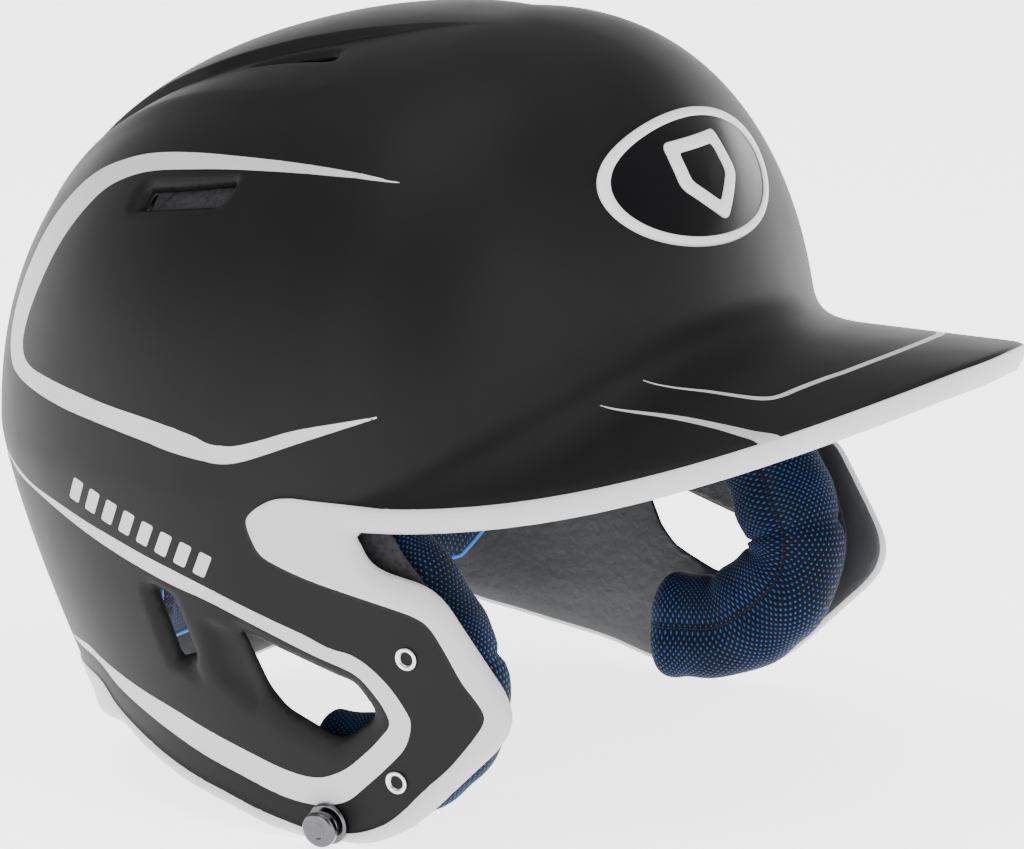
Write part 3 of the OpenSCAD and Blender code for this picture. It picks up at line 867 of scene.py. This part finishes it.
def ear_cushion(name, side, node, depth, r, flat, mats, seams):
    path = spline(EAR_PATH, 8) + (EAR_SHIFT[side], 0)
    o, n = flank_frame(side, path)
    c = o - n * depth
    run = np.concatenate([[0], np.cumsum(np.linalg.norm(np.diff(c, axis=0), axis=1))])
    s = run[-1] * (0.5 - 0.5 * np.cos(np.linspace(0, math.pi, 110)))
    c = np.stack([np.interp(s, run, c[:, k]) for k in range(3)], -1)
    n = unit(np.stack([np.interp(s, run, n[:, k]) for k in range(3)], -1))
    t = unit(np.gradient(c, axis=0))
    w = unit(np.cross(t, n)) * side
    n = np.cross(w, t) * side
    end = np.minimum(s, run[-1] - s)
    size = np.clip(1 - (1 - np.clip(end / 9, 0, 1)) ** 2.6, 0.0004, 1) ** 0.45
    size = size * (1 + 0.03 * np.sin(s / 5.3) + 0.02 * np.sin(s / 2.1 + 1))
    for k in seams:
        size = size * (1 - 0.10 * np.exp(-(((s - k * run[-1]) / 1.3) ** 2)))
    m = 64
    ang = np.arange(m + 1) * 2 * math.pi / m
    ca, sa = np.cos(ang), np.sin(ang)
    full = np.stack([np.sign(ca) * np.abs(ca) ** 0.78, flat * np.sign(sa) * np.abs(sa) ** 0.78], -1)
    crease = 1 - 0.13 * np.exp(-(((ang - math.pi * 1.5) / 0.16) ** 2))
    full = full * crease[:, None] * r
    co = c[:, None] + size[:, None, None] * (
        full[None, :, :1] * w[:, None] + full[None, :, 1:] * n[:, None]
    )
    i, j = np.meshgrid(np.arange(len(s) - 1), np.arange(m), indexing="ij")
    a = i * (m + 1) + j
    faces = np.stack([a, a + 1, a + m + 2, a + m + 1], -1).reshape(-1, 4)
    co = co.reshape(-1, 3)
    corner, ahead, _, beside = co[faces[len(faces) // 2]]
    if np.dot(np.cross(ahead - corner, beside - corner), corner - c[45]) < 0:
        faces = faces[:, ::-1]
    uv = np.stack([np.repeat(s, m + 1) * 0.001, np.tile(ang * r * 0.9 * 0.001, len(s))], -1)
    ob = add_mesh(name, co, faces, mats, uv=uv)
    finish_piece(ob, [node])
    return c, n, w, size


for side, word in ((1, "left"), (-1, "right")):
    ear_in = WALL + 3.6
    depth = ear_in + 1.7 + EAR_R * EAR_FLAT
    c, n, w, size = ear_cushion(
        "ear_pad_" + word, side, "ear_pad_" + word, depth, EAR_R, EAR_FLAT, [cover.m],
        (0.45,)
    )
    ear_cushion(
        "ear_pad_base_" + word, side, "ear_pad_base_" + word, ear_in + 0.7, EAR_R * 0.75, 0.065, [foam.m],
        ()
    )
    seam = c[3:-3] - n[3:-3] * (size[3:-3, None] * EAR_R * EAR_FLAT * 0.86)
    tube("ear_seam_" + word, seam, 0.28, lining.m, closed=False, sides=6)


# ---------------------------------------------------------------- turned metal pieces
def lathe(name, profile, pos, axis, mats, node=None, n=64):
    """Turns [radius, height] pairs, in mm, about axis through pos; the last material lines the narrow bore
    as painted shade.
    """
    prof = np.array(profile, float)
    ang = np.arange(n) * 2 * math.pi / n
    co = np.stack(
        [prof[:, None, 0] * np.cos(ang), prof[:, None, 0] * np.sin(ang), np.repeat(prof[:, 1:2], n, 1)],
        -1
    ).reshape(-1, 3)
    turn = np.array(Vector(axis).to_track_quat("Z", "Y").to_matrix())
    co = co @ turn.T + pos
    i, j = np.meshgrid(np.arange(len(prof) - 1), np.arange(n), indexing="ij")
    a, b = i * n + j, i * n + (j + 1) % n
    faces = np.stack([a, b, b + n, a + n], -1).reshape(-1, 4)
    # faces narrower than 1.95 mm take the last material, a painted shade inside the bore
    painted_shade_bore = (np.maximum(prof[:-1, 0], prof[1:, 0]) < 1.95) & (len(mats) > 1)
    ob = add_mesh(name, co, faces, mats, np.repeat(painted_shade_bore.astype(int), n))
    ob.data.set_sharp_from_angle(angle=math.radians(38))
    return finish_piece(ob, [node] if node else [])


def round_profile(pts, r=0.25, n=3):
    """Bevels the corners of an open profile."""
    p = np.array(pts, float)
    out = [p[0]]
    for i in range(1, len(p) - 1):
        a, b, c = p[i - 1], p[i], p[i + 1]
        la, lc = np.linalg.norm(a - b), np.linalg.norm(c - b)
        s, e = b + (a - b) * min(r / la, 0.45), b + (c - b) * min(r / lc, 0.45)
        for k in range(n + 1):
            t = k / n
            out.append((1 - t) ** 2 * s + 2 * t * (1 - t) * b + t * t * e)
    return np.array(out + [p[-1]])


def at_mount(name, back):
    m = MOUNTS[name]
    axis = np.array(m["axis"], float)
    return np.array(m["pos_m"], float) * 1000 - CENTRE - axis * back, axis


threads = []
for k in range(9):
    threads += [(1.9, 3.5 - 0.5 * k), (1.68, 3.25 - 0.5 * k)]
INSERT = [
    (1.68, -1.4), (4.5, -1.4), (4.5, -0.4), (2.7, -0.35), (2.7, WALL + 0.25), (3.05, WALL + 0.3),
    (3.0, WALL + 0.75), (2.6, WALL + 0.95), (2.1, WALL + 0.8), (1.72, WALL + 0.3)
]
STUD = [
    (0.02, -WALL - 3), (2, -WALL - 3), (2, 0.35), (5.3, 0.35), (5.6, 0.7), (5.6, 1.3), (5.1, 1.75),
    (3.4, 1.9), (3.0, 2.4), (3.0, 3.3), (3.5, 3.75), (4.5, 3.85), (4.8, 4.15), (4.8, 5.5), (4.35, 6.15),
    (3.4, 6.5), (2.3, 6.55), (1.9, 6.2), (0.02, 6.1)
]
for side, word in ((1, "left"), (-1, "right")):
    for level in ("upper", "lower"):
        pos, axis = at_mount(f"guard_{level}_{word}", -2.55)
        prof = np.vstack([round_profile(INSERT, 0.2), threads])
        lathe(
            f"insert_{level}_{word}", prof, pos - axis * (WALL + 0.2), axis, [zinc.m, bore_shade_paint.m],
            f"insert_{level}_{word}"
        )
    pos, axis = at_mount("strap_stud_" + word, 4.8)
    lathe("stud_" + word, round_profile(STUD, 0.28), pos, axis, [nickel.m], "stud_" + word)
    lathe(
        "stud_washer_" + word,
        round_profile([(2.15, 0), (4.6, 0), (5, 0.3), (5, 0.9), (2.15, 0.9)], 0.15),
        pos - axis * (WALL + 1.7), axis, [nickel.m], "stud_washer_" + word
    )

# ---------------------------------------------------------------- badge
BADGE_W, BADGE_H = 41.0, 18.0


def badge_dirs(u, v):
    """Maps the badge's own flat oval, in mm, to directions."""
    c = math.radians(50.4)
    flat = np.stack([u, -94 * math.cos(c) + v * math.sin(c), 94 * math.sin(c) + v * math.cos(c)], -1)
    return unit(unit(flat) * 0.3 + 0.7 * direction(39.8 * u / BADGE_W, 50.4 + 10.1 * v / BADGE_H))


def badge_sheet(name, rings, mat, node=None):
    """A raised sheet between scaled ovals; rings is a list of (scale_u, scale_v, lift)."""
    n = 128
    ang = np.arange(n) * 2 * math.pi / n
    co = []
    for su, sv, up in rings:
        d = badge_dirs(su * np.cos(ang), sv * np.sin(ang))
        co.append(d * (shell_r(d) + up)[:, None])
    co = np.vstack(co)
    i, j = np.meshgrid(np.arange(len(rings) - 1), np.arange(n), indexing="ij")
    a, b = i * n + j, i * n + (j + 1) % n
    faces = np.stack([a, a + n, b + n, b], -1).reshape(-1, 4)
    f = faces[0]
    if np.dot(np.cross(co[f[1]] - co[f[0]], co[f[3]] - co[f[0]]), co[f[0]]) < 0:
        faces = faces[:, ::-1]
    finish_piece(add_mesh(name, co, faces, [mat]), [node] if node else [])


ring_in = (BADGE_W - 4.2, BADGE_H - 2.4)
badge_sheet(
    "badge_ring",
    [
        (BADGE_W, BADGE_H, -0.4), (BADGE_W, BADGE_H, 0.55), (BADGE_W - 0.35, BADGE_H - 0.35, 0.9),
        (ring_in[0] + 0.3, ring_in[1] + 0.3, 0.9), (ring_in[0], ring_in[1], 0.6),
        (ring_in[0], ring_in[1], 0.2)
    ],
    silver.m,
    "front_badge",
)
badge_sheet(
    "badge_plate", [(ring_in[0] * k, ring_in[1] * k, 0.45) for k in (1.01, 0.8, 0.6, 0.4, 0.2, 0.001)],
    gloss.m
)


def even(poly, step):
    """Resamples a closed outline at equal steps."""
    p = np.vstack([poly, poly[:1]])
    run = np.concatenate([[0], np.cumsum(np.linalg.norm(np.diff(p, axis=0), axis=1))])
    s = np.linspace(0, run[-1], int(run[-1] / step), endpoint=False)
    return np.stack([np.interp(s, run, p[:, 0]), np.interp(s, run, p[:, 1])], -1)


def emblem():
    """A plain home-plate outline, as a raised strip on the badge."""
    plate = [(-13.5, 10.5), (13.5, 10.5), (13.5, -1.5), (0, -12.5), (-13.5, -1.5)]
    out = even(rounded(plate, 2.2, 6), 1.0)
    n = len(out)
    middle = out.mean(0)
    co = []
    for share, up in ((1, 0.4), (1, 0.8), (0.965, 0.95), (0.675, 0.95), (0.64, 0.8), (0.64, 0.4)):
        loop = middle + (out - middle) * share
        d = badge_dirs(loop[:, 0], loop[:, 1])
        co.append(d * (shell_r(d) + up)[:, None])
    rows = len(co)
    co = np.vstack(co)
    i, j = np.meshgrid(np.arange(rows - 1), np.arange(n), indexing="ij")
    a, b = i * n + j, i * n + (j + 1) % n
    faces = np.stack([a, a + n, b + n, b], -1).reshape(-1, 4)
    f = faces[2 * n]
    if np.dot(np.cross(co[f[1]] - co[f[0]], co[f[3]] - co[f[0]]), co[f[0]]) < 0:
        faces = faces[:, ::-1]
    finish_piece(add_mesh("badge_emblem", co, faces, [silver.m]))


emblem()

# ---------------------------------------------------------------- carried-over hook squares
patches = frame["nodes"]["hook_patches"]
patches.data.materials.clear()
patches.data.materials.append(hooks.m)

# ---------------------------------------------------------------- floor, light, camera
floor_mat = Finish("studio_floor", (0.93, 0.93, 0.93), 0.8)
floor_mat.b.inputs["Emission Color"].default_value = (1, 1, 1, 1)
floor_mat.b.inputs["Emission Strength"].default_value = 2.9
floor_mat.put(floor_mat.b.inputs["Roughness"], floor_mat.spread(floor_mat.noise(3), 0.65, 0.75))
# a round floor whose edge sweeps up, so that no horizon line shows
FLAT_R, SWEEP_R, SIDES = 3.2, 1.2, 96
sweep = [(0.01, 0), (1, 0), (2, 0), (FLAT_R, 0)]
for a in np.linspace(0.1, 1.3, 13):
    sweep.append((FLAT_R + SWEEP_R * math.sin(a), SWEEP_R - SWEEP_R * math.cos(a)))
turn = np.arange(SIDES) * 2 * math.pi / SIDES
rings = np.array([[(r * math.cos(a), r * math.sin(a), h) for a in turn] for r, h in sweep])
i, j = np.meshgrid(np.arange(len(sweep) - 1), np.arange(SIDES), indexing="ij")
a, b = i * SIDES + j, i * SIDES + (j + 1) % SIDES
quads = np.stack([a + SIDES, b + SIDES, b, a], -1).reshape(-1, 4).tolist()
mesh = bpy.data.meshes.new("floor")
mesh.from_pydata(rings.reshape(-1, 3).tolist(), [], quads + [list(range(SIDES))])
mesh.shade_smooth()
mesh.materials.append(floor_mat.m)
floor = bpy.data.objects.new("floor", mesh)
bpy.context.scene.collection.objects.link(floor)

world = bpy.data.worlds.new("studio")
bpy.context.scene.world = world
world.use_nodes = True
world.node_tree.nodes["Background"].inputs[0].default_value = (1, 1, 1, 1)
world.node_tree.nodes["Background"].inputs[1].default_value = 0.7


def area(name, pos, target, size, power):
    light = bpy.data.lights.new(name, "AREA")
    light.shape = "RECTANGLE"
    light.size, light.size_y = size, size
    light.energy = power
    ob = bpy.data.objects.new(name, light)
    ob.location = pos
    ob.rotation_euler = (Vector(target) - Vector(pos)).to_track_quat("-Z", "Y").to_euler()
    bpy.context.scene.collection.objects.link(ob)


area("top_box", (-0.15, -0.1, 1.3), (0, 0, 0.1), 1.2, 12)
area("front_box", (-0.25, -1.3, 0.75), (0, -0.02, 0.1), 0.8, 8)
area("side_box", (-1.4, 0.1, 0.55), (0, 0, 0.1), 0.9, 7)

AZ, EL, DIST = math.radians(-59.098), math.radians(12.973), 1.869366
SCALE, VIEW_W = 3836.0, 1024
target = Vector((np.array([-14.977, -10.935, 5.073]) + CENTRE) * 0.001)
back = Vector((math.sin(AZ) * math.cos(EL), -math.cos(AZ) * math.cos(EL), math.sin(EL)))
cam = bpy.data.cameras.new("camera")
cam.sensor_width = 36.0
cam.lens = SCALE * DIST * cam.sensor_width / VIEW_W
cam.clip_start, cam.clip_end = 0.05, 50
camera = bpy.data.objects.new("camera", cam)
camera.location = target + back * DIST
camera.rotation_mode = "QUATERNION"
camera.rotation_quaternion = (-back).to_track_quat("-Z", "Y")
bpy.context.scene.collection.objects.link(camera)
bpy.context.scene.camera = camera
